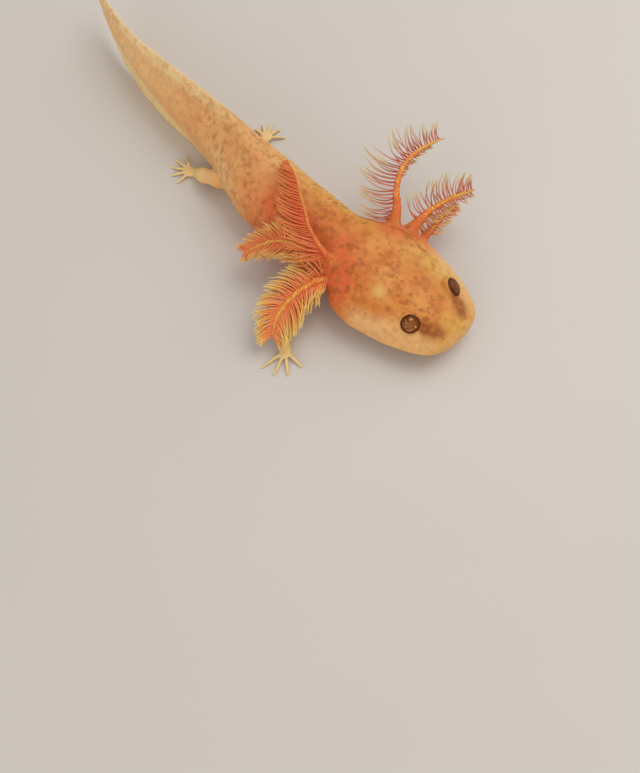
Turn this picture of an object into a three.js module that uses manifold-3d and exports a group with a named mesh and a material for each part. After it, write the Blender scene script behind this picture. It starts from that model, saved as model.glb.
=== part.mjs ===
// A young axolotl, life size, standing still with its belly, feet and tail fin on the floor.
// Millimetres. +X points to the snout, +Y to the animal's left, +Z up; the floor is z = 0.
// Until the last lines x = 0 is at the hips. Distances along the body, called "s", start at the snout.
import * as THREE from "three";
import { mergeVertices } from "three/addons/utils/BufferGeometryUtils.js";
import Module from "manifold-3d";

const wasm = await Module();
wasm.setup();

// Driving dimensions.
const LENGTH = 75.5; // snout to tail tip, along the back
const SNOUT_X = 36.1;
const GAP = 0.25; // between neighbouring pieces
const BODY_SIDES = 20; // corners of a body section
const HEAD_END = 14.2;
const NECK_END = 19.2;
const TRUNK_MIDDLE = 30;
const TRUNK_END = 40.5;
const TAIL_BASE_END = 52;
const TAIL_MIDDLE_END = 64;
const BACK_FIN_START = 31;
const BELLY_FIN_START = 43;
const FIN_THICKNESS = 0.55;
const EYE_RADIUS = 1.55;
const EYE_RIM_RADIUS = 1.35; // of the part that the skin leaves bare
const EYE_BASE_DEPTH = 0.3; // flat back of the eye, behind its centre
const MOUTH_CORNER = 7.8; // s of the mouth's corners
const MOUTH_HEIGHT = 2.7;
const MOUTH_SAG = 0.35; // the line of the lips dips between snout and corner
const FILAMENT_THICKNESS = 0.56;
const DIGIT_THICKNESS = 0.62;
const PALM_THICKNESS = 1.1;
const PALM_FRONT = 0.25; // share of the way from the palm to the digit tips

const mix = THREE.MathUtils.lerp;
const vector = (p) => new THREE.Vector3(...p);
const curve = (points) => new THREE.CatmullRomCurve3(points.map(vector));

// A smooth curve through [s, value] pairs that never overshoots them.
function profile(points) {
  const last = points.length - 1;
  const slopes = points.slice(1).map(([s, v], i) => (v - points[i][1]) / (s - points[i][0]));
  const tangents = points.map((_, i) => {
    if (i === 0 || i === last) return slopes[Math.min(i, last - 1)];
    const product = slopes[i - 1] * slopes[i];
    return product <= 0 ? 0 : (2 * product) / (slopes[i - 1] + slopes[i]);
  });
  return (s) => {
    if (s <= points[0][0]) return points[0][1];
    if (s >= points[last][0]) return points[last][1];
    const i = points.findIndex(([next]) => s < next) - 1;
    const [s0, v0] = points[i];
    const [s1, v1] = points[i + 1];
    const t = (s - s0) / (s1 - s0);
    const early = (s1 - s0) * tangents[i] * t * (1 - t) ** 2;
    const late = (s1 - s0) * tangents[i + 1] * t ** 2 * (t - 1);
    return mix(v0, v1, t * t * (3 - 2 * t)) + early + late;
  };
}

// The body's shape along s. Heights are above the floor.
const SPINE_Y = profile([
  [0, -1.8], [5, -2.0], [10, -2.45], [16, -3.3], [22, -4.2], [30, -4.8],
  [36, -4.4], [42, -3.95], [49, -4.2], [56, -4.0], [63, -3.1], [70, -1.4], [75.5, 0.6],
]);
const HALF_WIDTH = profile([
  [0, 1.6], [0.4, 3.0], [1.3, 4.25], [3, 5.35], [6, 6.5], [9, 7.2], [12, 7.6], [14.5, 7.2], [17, 5.5],
  [19.5, 4.5], [24, 4.3], [31, 4.2], [35, 3.6], [40, 2.85], [48, 2.3], [56, 1.7], [64, 1.1], [71, 0.6], [75.5, 0.3],
]);
const TOP = profile([
  [0, 3.5], [0.5, 4.2], [1.5, 4.8], [4, 5.6], [8, 6.5], [12, 7.2], [16, 7.7], [20, 7.9], [26, 8.3],
  [32, 8.4], [38, 8.2], [44, 7.9], [52, 7.4], [60, 6.8], [68, 6.1], [75.5, 5.1],
]);
const BOTTOM = profile([
  [0, 2.3], [0.5, 1.9], [1.5, 1.6], [4, 1.4], [8, 1.2], [12, 1.0], [16, 0.6], [20, 0.2], [24, -0.1],
  [30, -0.3], [37, -0.2], [42, 0.6], [48, 1.8], [56, 2.9], [64, 3.7], [71, 4.2], [75.5, 4.6],
]);
const WIDEST = profile([[0, 2.9], [4, 2.7], [8, 2.8], [12, 3.1], [20, 3.9], [30, 4.0], [40, 4.2], [48, 4.8], [60, 5.1]]);
const UPPER_FULLNESS = profile([[0, 2.2], [5, 1.8], [10, 1.9], [14, 2.1]]);
const LOWER_FULLNESS = profile([[0, 2.4], [6, 2.8], [14, 2.6], [24, 2.2], [40, 2.1]]);
const LEAN = profile([[34, 0], [42, 0.2], [50, 0.24], [62, 0.14], [75.5, 0.05]]); // sideways per mm of height
const BACK_FIN = profile([
  [31, 0.1], [34, 0.8], [38, 1.6], [43, 2.3], [49, 1.8], [55, 1.3], [62, 1.0], [70, 0.7], [75.5, 0.1],
]);
const BELLY_FIN = profile([[43, 0.3], [46, 1.3], [50, 2.0], [56, 2.9], [62, 3.1], [68, 2.1], [75.5, 0.2]]);

// The middle line seen from above: a point on it and the direction to the animal's left.
const SPINE_STEP = 0.5;
const spineX = [SNOUT_X];
for (let s = SPINE_STEP; s <= LENGTH + SPINE_STEP; s += SPINE_STEP) {
  const sideways = SPINE_Y(s) - SPINE_Y(s - SPINE_STEP);
  spineX.push(spineX.at(-1) - Math.sqrt(SPINE_STEP ** 2 - sideways ** 2));
}
function spine(s) {
  const i = Math.min(Math.floor(s / SPINE_STEP), spineX.length - 2);
  const x = mix(spineX[i], spineX[i + 1], s / SPINE_STEP - i);
  const back = new THREE.Vector2(-SPINE_STEP, SPINE_Y(s + SPINE_STEP / 2) - SPINE_Y(s - SPINE_STEP / 2));
  back.normalize();
  return { x, y: SPINE_Y(s), left: new THREE.Vector2(back.y, -back.x) };
}

// A point of the section plane at s, from its sideways place and its height.
function placed(s, sideways, height) {
  const { x, y, left } = spine(s);
  const across = sideways + LEAN(s) * (height - WIDEST(s));
  return new THREE.Vector3(x + left.x * across, y + left.y * across, Math.max(height, 0));
}

// One closed section of the body, from the left side over the back. "grow" makes it larger all round.
const power = (value, exponent) => Math.sign(value) * Math.abs(value) ** exponent;
function bodyRing(s, grow = 0) {
  return Array.from({ length: BODY_SIDES }, (_, k) => {
    const angle = (2 * Math.PI * k) / BODY_SIDES;
    const exponent = 2 / (Math.sin(angle) >= 0 ? UPPER_FULLNESS(s) : LOWER_FULLNESS(s));
    const reach = Math.sin(angle) >= 0 ? TOP(s) - WIDEST(s) : WIDEST(s) - BOTTOM(s);
    const across = (HALF_WIDTH(s) + grow) * power(Math.cos(angle), exponent);
    return placed(s, across, WIDEST(s) + (reach + grow) * power(Math.sin(angle), exponent));
  });
}

// A closed solid over rings of equal length, whichever way round they run.
function loft(rings) {
  const sides = rings[0].length;
  const end = (rings.length - 1) * sides;
  const faces = [];
  for (let first = 0; first < end; first += sides)
    for (let k = 0; k < sides; k++) {
      const a = first + k;
      const b = first + ((k + 1) % sides);
      faces.push([a, b, b + sides], [a, b + sides, a + sides]);
    }
  for (let k = 1; k < sides - 1; k++) faces.push([0, k + 1, k], [end, end + k, end + k + 1]);
  const geometry = new THREE.BufferGeometry().setFromPoints(rings.flat()).setIndex(faces.flat());
  const solid = solidOf(geometry);
  if (solid.volume() > 0) return solid;
  return solidOf(geometry.setIndex(faces.flatMap(([a, b, c]) => [a, c, b])));
}

// three.js geometry to a solid, and back.
function solidOf(geometry) {
  geometry.deleteAttribute("normal");
  geometry.deleteAttribute("uv");
  const { attributes, index } = mergeVertices(geometry, 1e-4);
  const vertProperties = attributes.position.array;
  return new wasm.Manifold(new wasm.Mesh({ numProp: 3, vertProperties, triVerts: new Uint32Array(index.array) }));
}
function geometryOf(solid) {
  const { vertProperties, triVerts } = solid.getMesh();
  return new THREE.BufferGeometry()
    .setAttribute("position", new THREE.BufferAttribute(new Float32Array(vertProperties), 3))
    .setIndex(new THREE.BufferAttribute(new Uint32Array(triVerts), 1));
}
const largest = (solid) => solid.decompose().sort((a, b) => b.volume() - a.volume())[0];

// Evenly spaced numbers from a to b, with steps no longer than most.
function stations(a, b, most) {
  const steps = Math.ceil((b - a) / most);
  return Array.from({ length: steps + 1 }, (_, i) => mix(a, b, i / steps));
}
const bodyLength = (from, to, step, grow = 0) => loft(stations(from, to, step).map((s) => bodyRing(s, grow)));

// A stalk, filament, limb or digit round a path, with a flat underside. size(t) gives its half
// width and half height; it runs from one share of the path to another and stays above the floor.
function tube(path, size, { sides = 8, steps = 4, from = 0, to = 1 } = {}) {
  const rings = Array.from({ length: steps + 1 }, (_, i) => {
    const t = mix(from, to, i / steps);
    const along = path.getTangent(t);
    const width = new THREE.Vector3(0, 0, 1).cross(along).normalize();
    const height = along.clone().cross(width);
    const [halfWidth, halfHeight] = size(t).map((half) => half / Math.cos(Math.PI / sides));
    return Array.from({ length: sides }, (_, k) => {
      const angle = (Math.PI * (2 * k + 1)) / sides - Math.PI / 2;
      const point = path.getPoint(t);
      point.addScaledVector(width, halfWidth * Math.cos(angle));
      point.addScaledVector(height, halfHeight * Math.sin(angle));
      return point.setZ(Math.max(point.z, 0));
    });
  });
  return loft(rings);
}

// Materials.
const paint = (color, roughness) => new THREE.MeshStandardMaterial({ color, roughness, metalness: 0 });
const SKIN = paint(0xd98f4a, 0.35);
const HEAD_SKIN = paint(0xdca15a, 0.35);
const PALE_SKIN = paint(0xe2c184, 0.4);
const FIN_SKIN = paint(0xd2b06a, 0.4);
const GILL_SKIN = paint(0xcf5a34, 0.35);
const EYE_GLOSS = paint(0x3a2212, 0.08);

const model = new THREE.Group();
function add(name, solid, material) {
  const mesh = new THREE.Mesh(geometryOf(largest(solid)), material);
  mesh.name = name;
  model.add(mesh);
}

// Eyes: domes on the upper sides of the head, looking up and outward.
const EYES = [
  { name: "eye_left", centre: [31.3, 1.8, 5.0], gaze: [0.25, 0.6, 0.75] },
  { name: "eye_right", centre: [31.4, -5.6, 5.0], gaze: [0.25, -0.6, 0.75] },
];
function eyeball({ centre, gaze }, grow = 0) {
  const radius = EYE_RADIUS + grow;
  const depth = EYE_BASE_DEPTH + grow;
  const dome = new THREE.EllipseCurve(0, 0, radius, radius, -Math.asin(depth / radius), Math.PI / 2);
  const outline = [new THREE.Vector2(0, -depth), ...dome.getPoints(5)];
  outline.at(-1).x = 0;
  const axis = vector(gaze).normalize();
  const middle = vector(centre).addScaledVector(axis, -Math.sqrt(EYE_RADIUS ** 2 - EYE_RIM_RADIUS ** 2));
  const turn = new THREE.Quaternion().setFromUnitVectors(new THREE.Vector3(0, 1, 0), axis);
  return solidOf(new THREE.LatheGeometry(outline, 12).applyQuaternion(turn).translate(...middle));
}

// All that lies under the closed lips, as far back as the mouth's corners.
function underMouth(grow) {
  const side = 12;
  const rings = stations(0, MOUTH_CORNER + grow, 1.6).map((s, i) => {
    const lip = MOUTH_HEIGHT - MOUTH_SAG * Math.sin((Math.PI * s) / MOUTH_CORNER) + grow;
    const { x, y } = spine(s);
    const ahead = i === 0 ? x + 1 : x;
    return [[side, -1], [side, lip], [-side, lip], [-side, -1]].map(([across, z]) => vector([ahead, y + across, z]));
  });
  return loft(rings);
}

function addHead() {
  let whole = loft([0, 0.25, 0.7, 1.5, 2.7, 4.2, 6, 8, 10, 12, HEAD_END].map((s) => bodyRing(s)));
  for (const eye of EYES) {
    whole = whole.subtract(eyeball(eye, GAP));
    add(eye.name, eyeball(eye), EYE_GLOSS);
  }
  add("head", whole.subtract(underMouth(GAP / 2)), HEAD_SKIN);
  add("lower_jaw", whole.intersect(underMouth(-GAP / 2)), PALE_SKIN);
}

function addBody() {
  add("neck", bodyLength(HEAD_END + GAP, NECK_END, 1.7), SKIN);
  add("trunk_front", bodyLength(NECK_END + GAP, TRUNK_MIDDLE, 2.2), SKIN);
  add("trunk_rear", bodyLength(TRUNK_MIDDLE + GAP, TRUNK_END, 2.2), SKIN);
  add("tail_base", bodyLength(TRUNK_END + GAP, TAIL_BASE_END, 2.4), SKIN);
  add("tail_middle", bodyLength(TAIL_BASE_END + GAP, TAIL_MIDDLE_END, 2.4), FIN_SKIN);
  add("tail_tip", bodyLength(TAIL_MIDDLE_END + GAP, LENGTH, 2.6), FIN_SKIN);
}

// Fins are thin upright blades on the middle line, between the heights root(s) and edge(s).
function finBlade(from, to, root, edge, grow = 0) {
  const half = FIN_THICKNESS / 2 + grow;
  const corners = [[half, root], [half, edge], [-half, edge], [-half, root]];
  return loft(stations(from, to, 2).map((s) => corners.map(([across, height]) => placed(s, across, height(s)))));
}
const backFinRoot = (s) => TOP(s) + GAP;
const backFinEdge = (s) => backFinRoot(s) + Math.max(BACK_FIN(s), 0.15);
const bellyFinRoot = (s) => BOTTOM(s) - GAP;
const bellyFinEdge = (s) => bellyFinRoot(s) - BELLY_FIN(s);
function addFins() {
  add("fin_back", finBlade(BACK_FIN_START, TRUNK_END, backFinRoot, backFinEdge), FIN_SKIN);
  add("fin_tail_upper", finBlade(TRUNK_END + GAP, LENGTH, backFinRoot, backFinEdge), FIN_SKIN);
  add("fin_tail_lower", finBlade(BELLY_FIN_START, LENGTH, bellyFinRoot, bellyFinEdge), FIN_SKIN);
}

// The space that gills and limbs keep out of.
const bodySpace = bodyLength(0, LENGTH, 2, GAP).add(
  finBlade(BACK_FIN_START - GAP, TRUNK_END, TOP, (s) => backFinEdge(s) + GAP, GAP),
);

// Gills: three feathery stalks a side. A row of filaments leaves its stalk in the direction "out",
// given at the row's start and end, and is swept towards the stalk's tip by "sweep".
// "length" is given at the row's start, middle and end.
const GILLS = [
  {
    name: "gill_left_back",
    path: [[20.4, 2.2, 5.4], [19.4, 3.7, 7.1], [17.8, 5.1, 8.1], [16.5, 7.1, 8.6], [15.8, 9.3, 8.6], [15.5, 11.6, 8.2],
      [15.6, 14.0, 7.7], [15.8, 15.8, 7.2]],
    rows: [
      { out: [[-0.8, -0.6, 0.15], [-0.7, 0.68, 0.3]], length: [4.8, 4.6, 2.0], from: 0.14, to: 0.97, count: 13, sweep: 0.5 },
      { out: [[0.9, 0.35, -0.2], [0.92, -0.1, -0.36]], length: [1.4, 1.7, 1.2], from: 0.45, to: 0.9, count: 5, sweep: 0.6 },
    ],
  },
  {
    name: "gill_left_middle",
    path: [[21.9, 3.6, 4.8], [22.1, 6.8, 6.3], [22.7, 9.2, 7.0], [23.3, 11.2, 7.0], [23.8, 13.2, 6.6]],
    rows: [
      { out: [[-0.8, 0.1, 0.35], [-0.65, 0.6, 0.4]], length: [3.9, 3.4, 1.6], from: 0.2, to: 0.96, count: 9, sweep: 0.3 },
      { out: [[0.86, -0.3, -0.5], [0.86, 0.1, -0.5]], length: [1.6, 1.6, 1.0], from: 0.4, to: 0.9, count: 4, sweep: 0.6 },
    ],
  },
  {
    name: "gill_left_front",
    path: [[23.4, 4.0, 3.4], [23.0, 7.2, 3.9], [22.7, 9.7, 4.1], [22.7, 12.0, 3.7]],
    rows: [
      { out: [[-0.8, 0.1, -0.6], [-0.7, 0.6, -0.2]], length: [2.8, 2.4, 1.3], from: 0.4, to: 0.95, count: 5, sweep: 0.5 },
      { out: [[0.85, -0.2, -0.4], [0.8, 0.2, -0.4]], length: [1.5, 1.7, 1.1], from: 0.4, to: 0.92, count: 5, sweep: 0.6 },
    ],
  },
  {
    name: "gill_right_back",
    path: [[19.6, -6.4, 5.6], [18.5, -7.9, 8.4], [15.5, -7.2, 9.5], [12.2, -5.4, 9.8], [8.5, -3.3, 9.9], [6.3, -2.5, 9.6],
      [5.2, -2.0, 9.2]],
    rows: [
      { out: [[-0.3, -0.9, 0.0], [-0.5, -0.85, -0.1]], length: [4.4, 5.0, 2.6], from: 0.2, to: 0.97, count: 12, sweep: 1.2 },
    ],
  },
  {
    name: "gill_right_middle",
    path: [[19.0, -6.4, 4.0], [17.5, -8.0, 5.6], [15.5, -8.6, 6.7], [12.9, -9.8, 6.3], [11.2, -11.4, 5.2], [9.9, -13.6, 4.0]],
    rows: [
      { out: [[-0.75, 0.35, 0.3], [-0.8, 0.2, 0.35]], length: [3.2, 3.2, 1.6], from: 0.3, to: 0.95, count: 8, sweep: 0.5 },
      { out: [[0.2, -0.85, -0.35], [0.3, -0.8, -0.4]], length: [3.2, 2.9, 1.6], from: 0.3, to: 0.95, count: 7, sweep: 0.6 },
    ],
  },
  {
    name: "gill_right_front",
    path: [[21.3, -7.4, 4.1], [19.8, -9.2, 4.9], [19.3, -11.4, 5.0], [19.1, -13.5, 4.5], [19.2, -15.3, 3.8],
      [19.9, -17.0, 3.0], [20.6, -18.0, 2.2]],
    rows: [
      { out: [[-0.94, -0.1, 0.2], [-0.7, -0.65, 0.0]], length: [3.4, 3.8, 1.7], from: 0.18, to: 0.96, count: 9, sweep: 0.5 },
      { out: [[0.94, 0.1, -0.3], [0.8, 0.4, -0.15]], length: [3.2, 3.8, 1.6], from: 0.25, to: 0.95, count: 8, sweep: 0.6 },
    ],
  },
];
const STALK_WIDTHS = profile([[0, 1.15], [0.25, 0.75], [1, 0.3]]);
const CURL = 0.5; // how much more a filament's outer half is swept
const FILAMENT_TAPER = 0.9;
const LONG_FILAMENT = 3.1; // longer ones are bent, shorter ones straight

function filament(stalk, { out, length, from, to, count, sweep }, i) {
  const share = i / (count - 1);
  const t = mix(from, to, share);
  const [first, middle, last] = length;
  const reach = share < 0.5 ? mix(first, middle, share * 2) : mix(middle, last, share * 2 - 1);
  const along = stalk.getTangent(t);
  const outward = vector(out[0]).lerp(vector(out[1]), share);
  outward.addScaledVector(along, -outward.dot(along)).normalize();
  const heading = (swept) => outward.clone().addScaledVector(along, swept).setLength(reach / 2);
  const root = stalk.getPoint(t);
  const bend = root.clone().add(heading(sweep));
  const tip = bend.clone().add(heading(sweep + CURL));
  const size = (u) => [1, 1].map((half) => (half * FILAMENT_THICKNESS * mix(1, FILAMENT_TAPER, u)) / 2);
  return tube(new THREE.CatmullRomCurve3([root, bend, tip]), size, { sides: 4, steps: reach > LONG_FILAMENT ? 2 : 1 });
}
// Each gill also keeps clear of the stalks before it.
function addGills() {
  let taken = bodySpace;
  for (const { name, path, rows } of GILLS) {
    const stalk = curve(path);
    const stem = (grow) => tube(stalk, (t) => [STALK_WIDTHS(t) + grow, STALK_WIDTHS(t) + grow], { sides: 6, steps: 6 });
    let gill = stem(0);
    for (const row of rows)
      for (let i = 0; i < row.count; i++) gill = gill.add(filament(stalk, row, i));
    add(name, gill.subtract(taken), GILL_SKIN);
    taken = taken.add(stem(GAP));
  }
}

// Limbs: an upper and a lower length along one path, then a hand or foot with its digits on the floor.
// "radius" is given at the path's start, knee and ankle.
const LIMBS = [
  {
    names: ["foreleg_right_upper", "foreleg_right_lower", "hand_right"],
    path: [[18.0, -6.4, 2.8], [17.9, -9.2, 2.6], [18.2, -12.2, 2.4], [19.7, -14.6, 1.6], [21.6, -16.6, 0.75]],
    radius: [1.1, 0.85, 0.7],
    palm: [22.3, -17.4],
    digits: [[21.9, -21.0], [23.7, -20.6], [24.9, -19.3], [25.3, -17.2]],
  },
  {
    names: ["foreleg_left_upper", "foreleg_left_lower", "hand_left"],
    path: [[17.8, -1.8, 2.6], [16.6, -0.6, 2.3], [15.2, 0.2, 1.7], [13.2, 0.5, 1.1], [11.4, 0.5, 0.75]],
    radius: [1.1, 0.85, 0.7],
    palm: [10.4, 0.6],
    digits: [[6.9, -0.3], [6.7, 0.9], [7.4, 2.1], [9.0, 2.9]],
  },
  {
    names: ["hindleg_right_upper", "hindleg_right_lower", "foot_right"],
    path: [[-0.2, -6.0, 3.4], [-1.2, -7.6, 3.1], [-3.0, -8.3, 2.4], [-4.4, -8.4, 1.5], [-5.6, -8.5, 0.75]],
    radius: [1.4, 1.0, 0.75],
    palm: [-6.5, -8.7],
    digits: [[-9.2, -7.5], [-9.7, -8.8], [-9.2, -10.1], [-8.1, -11.0], [-6.5, -11.2]],
  },
  {
    names: ["hindleg_left_upper", "hindleg_left_lower", "foot_left"],
    path: [[-0.8, -3.4, 3.4], [-1.2, -1.6, 3.0], [-2.0, -0.3, 2.4], [-2.9, 0.7, 1.5], [-3.7, 1.7, 0.75]],
    radius: [1.4, 1.0, 0.75],
    palm: [-4.1, 2.4],
    digits: [[-6.5, 2.5], [-6.4, 3.8], [-5.5, 4.8], [-4.1, 5.1], [-2.5, 4.6]],
  },
];
const KNEE = 0.52; // shares of the path where it is parted
const ANKLE = 0.93;

// A hand or foot: a low palm that widens from the ankle, and digits that start inside it.
function extremity(path, ankle, palm, digits, start) {
  const middle = vector([...palm, PALM_THICKNESS / 2]);
  const ends = digits.map((tip) => vector([...tip, DIGIT_THICKNESS / 2]));
  const front = ends.reduce((sum, end) => sum.addScaledVector(end, PALM_FRONT / ends.length), new THREE.Vector3());
  front.addScaledVector(middle, 1 - PALM_FRONT);
  const sole = new THREE.CatmullRomCurve3([path.getPoint(start), path.getPoint(1), middle, front]);
  const palmWidth = profile([[0, ankle], [0.7, ankle * 1.4], [1, ankle * 1.1]]);
  let hand = tube(sole, (t) => [palmWidth(t), mix(ankle, PALM_THICKNESS / 2, t)], { sides: 6, steps: 3 });
  for (const end of ends) {
    const knuckle = middle.clone().lerp(end, 0.5).setZ(DIGIT_THICKNESS * 0.65);
    const size = (t) => [mix(1.4, 1, t), mix(1.3, 1, t)].map((share) => (share * DIGIT_THICKNESS) / 2);
    hand = hand.add(tube(new THREE.CatmullRomCurve3([middle, knuckle, end]), size, { sides: 5, steps: 2 }));
  }
  return hand;
}
function addLimbs() {
  for (const { names, path: points, radius, palm, digits } of LIMBS) {
    const path = curve(points);
    const girth = profile([[0, radius[0]], [KNEE, radius[1]], [ANKLE, radius[2]]]);
    const round = (t) => [girth(t), girth(t)];
    const half = GAP / 2 / path.getLength();
    const upper = tube(path, round, { to: KNEE - half });
    const lower = tube(path, round, { from: KNEE + half, to: ANKLE - half });
    add(names[0], upper.subtract(bodySpace), PALE_SKIN);
    add(names[1], lower.subtract(bodySpace), PALE_SKIN);
    add(names[2], extremity(path, radius[2], palm, digits, ANKLE + half).subtract(bodySpace), PALE_SKIN);
  }
}

addHead();
addBody();
addFins();
addGills();
addLimbs();

// The origin is on the floor under the middle of the whole animal.
const middle = new THREE.Box3().setFromObject(model).getCenter(new THREE.Vector3());
model.position.set(-middle.x, -middle.y, 0);

export default model;
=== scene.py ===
"""A young axolotl resting on a pale floor: one unbroken moist skin, feathery gills and two eyes.

Shapes are worked out in millimetres, in the frame that the solids' own tables use: x = 0 at the
hips, +X to the snout, +Y to the animal's left, the floor at z = 0. They become metres of the
shared frame when a mesh is made. Distances along the body, called s, start at the snout.
"""

import bpy
import numpy as np
from mathutils import Matrix, Vector
from mathutils.kdtree import KDTree


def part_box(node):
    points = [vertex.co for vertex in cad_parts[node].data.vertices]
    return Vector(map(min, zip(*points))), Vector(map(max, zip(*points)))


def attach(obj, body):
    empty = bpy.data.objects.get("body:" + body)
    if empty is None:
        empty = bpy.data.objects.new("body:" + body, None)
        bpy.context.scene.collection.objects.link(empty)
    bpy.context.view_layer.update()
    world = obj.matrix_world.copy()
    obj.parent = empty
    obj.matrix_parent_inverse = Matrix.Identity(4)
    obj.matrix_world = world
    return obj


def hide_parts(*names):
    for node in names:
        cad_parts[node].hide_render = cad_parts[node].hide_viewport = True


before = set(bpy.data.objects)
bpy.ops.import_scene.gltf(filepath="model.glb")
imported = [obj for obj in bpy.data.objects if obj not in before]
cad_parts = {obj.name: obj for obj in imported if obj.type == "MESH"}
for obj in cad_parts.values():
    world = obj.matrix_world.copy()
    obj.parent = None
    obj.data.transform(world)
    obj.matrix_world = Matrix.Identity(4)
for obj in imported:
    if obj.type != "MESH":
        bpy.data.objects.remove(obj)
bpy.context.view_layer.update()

MM = 0.001
LENGTH = 75.5
SNOUT_X = 36.1
SPINE_STEP = 0.5
GAP = 0.25
VOXEL = 0.11
RANDOM = np.random.default_rng(7)


# ---- small mathematics
def mix(a, b, t):
    return a + (b - a) * t


def smooth(low, high, value):
    """0 at low and 1 at high, with soft ends. low may be the larger one."""
    t = np.clip((value - low) / (high - low), 0, 1)
    return t * t * (3 - 2 * t)


def bell(value, width):
    return np.exp(-((value / width) ** 2))


def most(*amounts):
    return np.maximum.reduce(amounts)


def power(value, exponent):
    return np.sign(value) * np.abs(value) ** exponent


def unit(vectors):
    vectors = np.asarray(vectors, float)
    return vectors / np.maximum(np.linalg.norm(vectors, axis=-1, keepdims=True), 1e-9)


def profile(points):
    """A smooth curve through (s, value) pairs that never overshoots them."""
    at, values = np.array(points, float).T
    step = np.diff(at)
    slope = np.diff(values) / step
    product = slope[:-1] * slope[1:]
    total = np.where(product > 0, slope[:-1] + slope[1:], 1)
    inner = np.where(product > 0, 2 * product / total, 0)
    tangent = np.concatenate([slope[:1], inner, slope[-1:]])

    def value(s):
        s = np.clip(s, at[0], at[-1])
        i = np.clip(np.searchsorted(at, s, side="right") - 1, 0, len(step) - 1)
        t = (s - at[i]) / step[i]
        early = step[i] * tangent[i] * t * (1 - t) ** 2
        late = step[i] * tangent[i + 1] * t**2 * (t - 1)
        return mix(values[i], values[i + 1], t * t * (3 - 2 * t)) + early + late

    return value


class Path:
    """A centripetal Catmull-Rom curve. Its parameter t gives each stretch between points an equal share."""

    def __init__(self, points, samples=241):
        points = np.array(points, float)
        ends = np.array([2 * points[0] - points[1], *points, 2 * points[-1] - points[-2]])
        knots = np.cumsum([0, *np.linalg.norm(np.diff(ends, axis=0), axis=1) ** 0.5])
        self.t = np.linspace(0, 1, samples)
        stretch = self.t * (len(points) - 1)
        i = np.minimum(stretch.astype(int), len(points) - 2)
        time = mix(knots[i + 1], knots[i + 2], stretch - i)

        def between(a, b, first, second):
            share = (time - knots[i + first]) / (knots[i + second] - knots[i + first])
            return mix(a, b, share[:, None])

        p0, p1, p2, p3 = (ends[i + shift] for shift in range(4))
        a1, a2, a3 = between(p0, p1, 0, 1), between(p1, p2, 1, 2), between(p2, p3, 2, 3)
        self.points = between(between(a1, a2, 0, 2), between(a2, a3, 1, 3), 1, 2)
        self.length = np.linalg.norm(np.diff(self.points, axis=0), axis=1).sum()

    def at(self, t):
        return np.stack([np.interp(t, self.t, axis) for axis in self.points.T], axis=-1)

    def along(self, t):
        t = np.asarray(t, float)
        return unit(self.at(np.minimum(t + 0.01, 1)) - self.at(np.maximum(t - 0.01, 0)))


def waves(points, length, seed):
    """Smooth lumps of about that wave length, between about -1 and 1."""
    source = np.random.default_rng(seed)
    directions = unit(source.normal(size=(14, 3))) * source.uniform(0.7, 1.4, (14, 1))
    phases = source.uniform(0, 2 * np.pi, 14)
    return np.sin(points @ directions.T * (2 * np.pi / length) + phases).mean(axis=1) * 2.4


# ---- the body's shape
SPINE_Y = profile([
    (0, -1.8), (5, -2), (10, -2.45), (16, -3.3), (22, -4.2), (30, -4.8),
    (36, -4.4), (42, -3.95), (49, -4.2), (56, -4), (63, -3.1), (70, -1.4), (75.5, 0.6),
])
HALF_WIDTH = profile([
    (0, 1.6), (0.4, 3), (1.3, 4.25), (3, 5.35), (6, 6.5), (9, 7.2), (12, 7.6), (14.5, 7.2),
    (17, 5.5), (19.5, 4.5), (24, 4.7), (31, 4.8), (35, 4.13), (40, 3.05), (48, 2.35), (56, 1.7),
    (64, 1.1), (71, 0.6), (75.5, 0.3),
])
TOP = profile([
    (0, 3.5), (0.5, 4.2), (1.5, 4.8), (4, 5.6), (8, 6.5), (12, 7.2), (16, 7.7), (20, 7.9),
    (26, 8.3), (32, 8.4), (38, 8.2), (44, 7.9), (52, 7.4), (60, 6.8), (68, 6.1), (75.5, 5.1),
])
BOTTOM = profile([
    (0, 2.3), (0.5, 1.9), (1.5, 1.6), (4, 1.4), (8, 1.2), (12, 1), (16, 0.6), (20, 0.2),
    (24, -0.1), (30, -0.3), (37, -0.2), (42, 0.6), (48, 1.8), (56, 2.9), (64, 3.7), (71, 4.2),
    (75.5, 4.6),
])
WIDEST = profile([
    (0, 2.9), (4, 2.7), (8, 2.8), (12, 3.1), (20, 3.9), (30, 4), (40, 4.2), (48, 4.8), (60, 5.1),
])
UPPER_FULLNESS = profile([(0, 2.2), (5, 1.8), (10, 1.9), (14, 2.1), (40, 2.1), (52, 1.75)])
LOWER_FULLNESS = profile([(0, 2.4), (6, 2.8), (14, 2.6), (24, 2.2), (40, 2.1), (52, 1.6)])
LEAN = profile([(34, 0), (42, 0.2), (50, 0.24), (62, 0.14), (75.5, 0.05)])
BACK_FIN = profile([
    (31, 0.1), (34, 0.6), (38, 1), (43, 1.25), (49, 1.4), (55, 1.25), (62, 0.95), (70, 0.65),
    (75.5, 0.1),
])
BELLY_FIN = profile([
    (43, 0.3), (46, 1.3), (50, 2), (56, 2.9), (62, 3.1), (68, 2.1), (75.5, 0.2),
])
BACK_FIN_SPAN = (28, 33)  # where each fin starts and where it has its whole height
BELLY_FIN_SPAN = (41.5, 44)
FIN_BASE = 0.45  # half thickness near the start of the back fin
FIN_EDGE = 0.17  # and on the tail
TIP_LENGTH = 6  # over which the tail's end is rounded
FIN_ROOT_DEPTH = 1.8  # how far inside the flesh a fin's root lies
FIN_STEPS = 15  # from root to edge

spine_steps = np.arange(0, LENGTH + 2 * SPINE_STEP, SPINE_STEP)
spine_runs = np.sqrt(SPINE_STEP**2 - np.diff(SPINE_Y(spine_steps)) ** 2)
spine_xs = SNOUT_X - np.concatenate([[0], np.cumsum(spine_runs)])


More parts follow.
